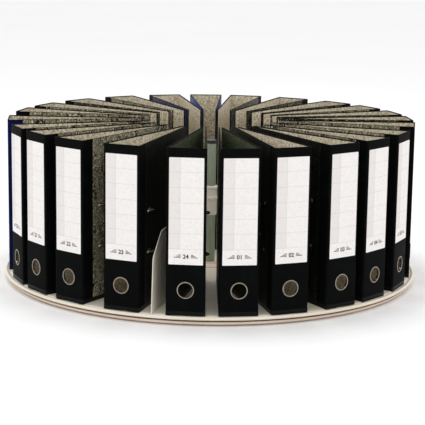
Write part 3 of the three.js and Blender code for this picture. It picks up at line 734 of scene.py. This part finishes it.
def mechanism_surfaces():
    """Base plate with turned-up ribs and posts, arches and lever, each with its material:
    0 zinc plated steel, 1 bright nickel."""
    x0, x1 = 0.2 * MM, 1.4 * MM
    y0, y1 = PLATE_LOW[1], PLATE_HIGH[1]
    z0, z1 = PLATE_LOW[2], PLATE_HIGH[2]
    outline = rounded([(y0, z0), (y1, z0), (y1, z1), (y0, z1)], 7 * MM, 6)
    found = [plate(outline, x0, x1, 0.3 * MM).mapped(ACROSS)]
    for y in (y0 + 6 * MM, y1 - 6 * MM):
        rib = rounded([(y - 1.6 * MM, z0 + 12 * MM), (y + 1.6 * MM, z0 + 12 * MM),
                       (y + 1.6 * MM, z1 - 12 * MM), (y - 1.6 * MM, z1 - 12 * MM)], 1.5 * MM, 3)
        found.append(plate(rib, x1 - 0.2 * MM, x1 + 1.4 * MM, 0.7 * MM).mapped(ACROSS))
    bend = ARCH_HIGH[0] - (POST_Y - ARCH_Y) / 2
    half = (POST_Y - ARCH_Y) / 2
    a = np.linspace(0, np.pi, 13)
    for z in ARCH_HEIGHTS:
        post = np.linspace([x1 - 0.2 * MM, POST_Y, z], [bend - 1.2 * MM, POST_Y, z], 6)
        found.append(wire(post, WIRE))
        boss = [(0, 0), (4.5 * MM, 0), (4.5 * MM, 1.6 * MM), (2.6 * MM, 3 * MM), (0, 3 * MM)]
        turned = lathe(boss, 0.4 * MM, 20).mapped(ALONG_X)
        found.append(turned.moved(x1 - 0.2 * MM, POST_Y, z))
        leg = np.linspace([x1 + WIRE, ARCH_Y, z], [bend - WIRE, ARCH_Y, z], 7)
        crown = np.stack([bend - WIRE + half * np.sin(a), ARCH_MIDDLE_Y - half * np.cos(a),
                          np.full(13, z)], axis=1)
        found.append(wire(np.concatenate([leg[:-1], crown]), WIRE, material=1))
    rail = np.linspace([x1 + WIRE, ARCH_Y, ARCH_HEIGHTS[0] - WIRE],
                       [x1 + WIRE, ARCH_Y, ARCH_HEIGHTS[1] + 14 * MM], 4)
    found.append(wire(rail, WIRE, material=1))
    found.append(lever_surface())
    return found


def lever_surface():
    """The pressed lever: a strip whose side view is a bent line, thickened along its width."""
    x0, y0 = LEVER_LOW[0], LEVER_LOW[1]
    x1, y1 = LEVER_HIGH[0], LEVER_HIGH[1]
    t = 1.2 * MM
    top = x1 - 4 * MM
    side = [(x0, y0), (top - 2 * MM, y0 + 3 * MM), (top, y0 + 8 * MM), (top, y1 - 12 * MM),
            (x1, y1 - 2 * MM), (x1 - t, y1 - MM), (top - t, y1 - 11 * MM), (top - t, y0 + 8.6 * MM),
            (top - 2 * MM - t, y0 + 4.2 * MM), (x0, y0 + 1.4 * MM)]
    outline = rounded(side, 2.4 * MM, 3)
    return plate(outline, LEVER_LOW[2], LEVER_HIGH[2], 0.3 * MM, material=1)


def compressor_surfaces():
    """The bar that holds the papers down: rounded ends, thin edges, a rib along the middle."""
    y0, y1, z0, z1 = BAR_LOW[1], BAR_HIGH[1], BAR_LOW[2], BAR_HIGH[2]
    x0, x1 = BAR_LOW[0], BAR_HIGH[0]
    outline = rounded([(y0, z0), (y1, z0), (y1, z1), (y0, z1)], 5.5 * MM, 5)
    bar = plate(outline, x0, x1, 0.5 * MM).mapped(ACROSS)
    m = (y0 + y1) / 2
    rib = rounded([(m - MM, z0 + 20 * MM), (m + MM, z0 + 20 * MM), (m + MM, z1 - 20 * MM),
                   (m - MM, z1 - 20 * MM)], MM, 3)
    ridge = plate(rib, x1 - 0.3 * MM, x1 + MM, 0.5 * MM).mapped(ACROSS)
    return [bar, ridge]


def bored_bar(stance):
    """The compressor bar in its place on the file, bored so that it slides on the posts."""
    bore, middle = WIRE + 2 * CLEARANCE, (BAR_LOW[0] + BAR_HIGH[0]) / 2
    deep = 4 * MM
    drill = lathe([(0, -deep), (bore, -deep), (bore, deep), (0, deep)], 0, 32).mapped(ALONG_X)
    bar = mesh_of("bar", [stance.place_mechanism(b) for b in compressor_surfaces()],
                  [BLACK_PLASTIC], 40)
    return cut(bar, [stance.place_mechanism(drill.moved(middle, POST_Y, z))
                     for z in ARCH_HEIGHTS])


def rivet_surfaces():
    """Four pressed rivet heads outside the back cover, domes of 3.5 mm."""
    dome = [(0, 0), (3.4 * MM, 0), (3.1 * MM, 0.5 * MM), (1.8 * MM, 1.0 * MM), (0, 1.1 * MM)]
    head = lathe(dome, 0.3 * MM, 16).mapped([[0, 0, -1], [0, 1, 0], [1, 0, 0]])
    rows = ((58 * MM, 114 * MM), (58 * MM, 203 * MM), (86 * MM, 138 * MM), (86 * MM, 195 * MM))
    return [head.moved(-BOARD + 0.1 * MM, y, TRAY_TOP + z) for y, z in rows]


def rail_surface(stance):
    """A lacquered steel channel clipped over the case's foot, all round: one thin section
    carried along the case's middle line."""
    t, g, z = BOARD / 2, 0.3 * MM, TRAY_TOP
    tall = 8 * MM
    section = [(t + g, z), (t + g, z + tall), (t, z + tall), (t, z + RAIL), (-t, z + RAIL),
               (-t, z + tall), (-t - g, z + tall), (-t - g, z)]
    return sweep(stance.plan(6 * MM), section)


def ring_surface():
    """The finger hole's eyelet: a rolled flange outside, a tube, and a lip turned over inside."""
    r = RING_RADIUS
    bore, bush = r - 2.5 * MM, r - 2.05 * MM
    tube = [(bore, -3.0 * MM), (bore + 0.3 * MM, -3.6 * MM), (r - 0.3 * MM, -3.4 * MM),
            (r - 0.1 * MM, -2.5 * MM), (bush, -2.45 * MM), (bush, 0.05 * MM),
            (r - 0.4 * MM, 0.05 * MM), (r, 0.6 * MM), (r - 0.9 * MM, 1.2 * MM),
            (bore + 0.4 * MM, 1.15 * MM), (bore, 0.5 * MM)]
    eyelet = lathe(tube, 0.35 * MM, 56)
    return eyelet.mapped(FACING_FRONT, (0, -SPINE_RADIUS, HOLE_HEIGHT))


def label_surfaces(number):
    """A label with rounded corners on the spine, and its printed number."""
    low, high = LABEL_POINTS.min(0), LABEL_POINTS.max(0)
    outline = rounded([(low[0], low[2]), (high[0], low[2]), (high[0], high[2]),
                       (low[0], high[2])], 1.5 * MM, 4)
    lift = [[1, 0, 0], [0, 0, 1], [0, 1, 0]]
    front = -SPINE_RADIUS - 0.3 * MM
    paper = plate(outline, front, -SPINE_RADIUS + 0.05 * MM, 0.08 * MM).mapped(lift)
    text = bpy.data.curves.new("number", "FONT")
    text.body = f"{number:02d}"
    text.size = 11 * MM
    text.align_x = "CENTER"
    text.offset = 0.35 * MM
    text.extrude = 0.04 * MM
    text.resolution_u = 3
    holder = bpy.data.objects.new("number", text)
    bpy.context.scene.collection.objects.link(holder)
    flat = holder.evaluated_get(bpy.context.evaluated_depsgraph_get()).to_mesh()
    points = np.zeros(len(flat.vertices) * 3)
    flat.vertices.foreach_get("co", points)
    marks = [Surface(points.reshape(-1, 3), [list(p.vertices) for p in flat.polygons], 1)]
    bpy.data.objects.remove(holder)
    for side in (-1, 1):
        for up, long in ((1.2 * MM, 13 * MM), (3.6 * MM, 9 * MM), (6.0 * MM, 5 * MM)):
            near = side * 9.5 * MM
            bar = [(near, up), (near + side * long, up), (near + side * long, up + 1.3 * MM),
                   (near, up + 1.3 * MM)]
            marks.append(plate(bar, -0.04 * MM, 0.04 * MM, 0.01 * MM, 1))
    foot = low[2] + 12 * MM
    return [paper] + [m.mapped(FACING_FRONT, (0, front - 0.02 * MM, foot)) for m in marks]


# ---- all the files --------------------------------------------------------------------------
# The spine's cloth and the covers' paper of the files that aren't black cloth and olive paper.
COVERINGS = {13: (BLACK_CLOTH, BLUE_MARBLE), 14: (BLACK_CLOTH, NAVY_MARBLE),
             19: (BLUE_CLOTH, GREY_MARBLE)}
# Files 23, 24, 1, 2 and 3 get the near-black cloud paper as painted shade, their covers darkened because they face
# away from the light
COVERINGS.update({n: (BLACK_CLOTH, PAINTED_SHADE_MARBLE) for n in (23, 24, 1, 2, 3)})
COVERINGS.update({n: (BLACK_CLOTH, GREY_MARBLE) for n in (4, 5, 6, 9, 15, 17, 18, 20, 21, 22)})
PAINTED_SHADE_LINED = (24, 1)  # files whose lining is painted darker, as painted shade inside the front files
SLOT_OF = {p["node"]: p["material_slot"] for p in frame["record"]["subparts"]}
FILE_01_NODES = {"case": ["file_01_case", "file_01_front_cover"], "label": ["file_01_label"],
                 "ring": ["file_01_finger_ring"],
                 "mechanism": ["file_01_mechanism_base", "file_01_arch_wire", "file_01_lever"],
                 "bar": ["file_01_compressor_bar"]}


def turned_copy(mesh, angle):
    """A copy of a mesh, turned about the column."""
    made = mesh.copy()
    points = np.zeros(len(made.vertices) * 3, np.float32)
    made.vertices.foreach_get("co", points)
    points = points.reshape(-1, 3) @ np.asarray(turn(angle)).T
    made.vertices.foreach_set("co", points.astype(np.float32).ravel())
    made.update()
    return made


def file_meshes(stance):
    """The case, foot rail, mechanism and compressor bar of a file in this stance."""
    works = mechanism_surfaces() + rivet_surfaces()
    return (case_mesh(stance), mesh_of("rail", [rail_surface(stance)], [LACQUER], 30),
            mesh_of("mechanism", [stance.place_mechanism(w) for w in works], [ZINC, NICKEL], 40),
            bored_bar(stance))


def file_pieces():
    """Every file's pieces: a turned copy of the meshes made for a file that stands like it."""
    ring = mesh_of("ring", [ring_surface()], [NICKEL], 50)
    made = {}
    for number, (body, angle) in enumerate(FILE_ANGLES.items(), 1):
        stance = Stance(body)
        width = round(stance.fore_half / MM, 1)
        if width not in made:
            made[width] = file_meshes(stance)
        case, rail, mechanism, bar = (turned_copy(m, angle) for m in made[width])
        first = body == "file_01"
        nodes = FILE_01_NODES if first else {"case": [body]}
        slot = SLOT_OF[nodes["case"][0]]
        case.materials[CLOTH], case.materials[PAPER] = COVERINGS.get(
            number, (BLACK_CLOTH, OLIVE_MARBLE))
        # painted shade: the front files get the darker lining
        if number in PAINTED_SHADE_LINED:
            case.materials[INSIDE] = PAINTED_SHADE_LINING
        put(f"{body}_board_case", case, body, slot, *nodes["case"])
        label = mesh_of("label", label_surfaces(number), [LABEL, INK], 30)
        put(f"{body}_spine_label", turned_copy(label, angle), body, "label_paper",
            *nodes.get("label", []))
        put(f"{body}_ring", turned_copy(ring, angle), body, "nickel", *nodes.get("ring", []))
        put(f"{body}_foot_rail", rail, body, "steel")
        put(f"{body}_mechanism", mechanism, body, "steel", *nodes.get("mechanism", []))
        put(f"{body}_compressor", bar, "compressor" if first else body, "black_plastic",
            *nodes.get("bar", []))


# ---- the studio -----------------------------------------------------------------------------
def studio():
    """A pale floor under a white sky, and a broad soft light."""
    mesh = bpy.data.meshes.new("floor")
    mesh.from_pydata([(-40, -40, 0), (40, -40, 0), (40, 40, 0), (-40, 40, 0)], [],
                     [(0, 1, 2, 3)])
    floor = bpy.data.objects.new("floor", mesh)
    bpy.context.scene.collection.objects.link(floor)
    look = Look("painted_floor", Roughness=0.9)
    look.colour(look.mix(look.noise(look.place(), 900, 2), "#fbfbfb", "#f7f7f7"))
    mesh.materials.append(look.material)

    world = bpy.data.worlds.new("studio")
    bpy.context.scene.world = world
    world.use_nodes = True
    world.node_tree.nodes["Background"].inputs["Color"].default_value = (1, 1, 1, 1)
    world.node_tree.nodes["Background"].inputs["Strength"].default_value = WORLD_STRENGTH
    target = Vector((0, 0, 0.15))
    for name, place, size, power in LIGHTS:
        light = bpy.data.lights.new(name, "AREA")
        light.shape = "DISK"
        light.size = size
        light.energy = power
        lamp = bpy.data.objects.new(name, light)
        lamp.location = place
        lamp.rotation_mode = "QUATERNION"
        lamp.rotation_quaternion = (target - Vector(place)).to_track_quat("-Z", "Y")
        bpy.context.scene.collection.objects.link(lamp)


WORLD_STRENGTH = 0.98
LIGHTS = (  # name, place, width and watts
    ("top", (-0.3, 0.3, 3.4), 2.0, 34),
)

CAMERA_DISTANCE = 3.131
CAMERA_ELEVATION = math.radians(10.59)
CAMERA_ROLL = math.radians(0.81)
FOCUS = Vector((0, 0, TRAY_TOP + 0.150))
FOCAL_WIDTHS = 1463.2 / 425  # focal length, in widths of the picture
SENSOR = 36.0
AIM_DOWN = 0.0392 / FOCAL_WIDTHS  # turns the view down, so the carousel sits above the middle
AIM_RIGHT = 0.0045 / FOCAL_WIDTHS


def camera():
    """A long lens in front and a little above, rolled slightly."""
    data = bpy.data.cameras.new("camera")
    data.sensor_width = SENSOR
    data.lens = SENSOR * FOCAL_WIDTHS
    cam = bpy.data.objects.new("camera", data)
    bpy.context.scene.collection.objects.link(cam)
    e = CAMERA_ELEVATION
    cam.location = FOCUS + CAMERA_DISTANCE * Vector((0, -math.cos(e), math.sin(e)))
    look_at = (FOCUS - cam.location).to_track_quat("-Z", "Y").to_matrix()
    a, b, r = -AIM_DOWN, -AIM_RIGHT, CAMERA_ROLL
    tilt = np.array([[1, 0, 0], [0, math.cos(a), -math.sin(a)], [0, math.sin(a), math.cos(a)]])
    pan = np.array([[math.cos(b), 0, math.sin(b)], [0, 1, 0], [-math.sin(b), 0, math.cos(b)]])
    rows = np.array(look_at) @ np.array(turn(r)) @ tilt @ pan
    cam.rotation_mode = "QUATERNION"
    cam.rotation_quaternion = Matrix(rows.tolist()).to_quaternion()
    bpy.context.scene.camera = cam


bpy.context.scene.view_settings.view_transform = "Standard"
camera()
studio()
for inner in ("lower_race", "upper_race", "ball_cage"):
    frame["nodes"][inner].data.materials.clear()
    frame["nodes"][inner].data.materials.append(ZINC)
stand_pieces()
turntable_pieces()
file_pieces()
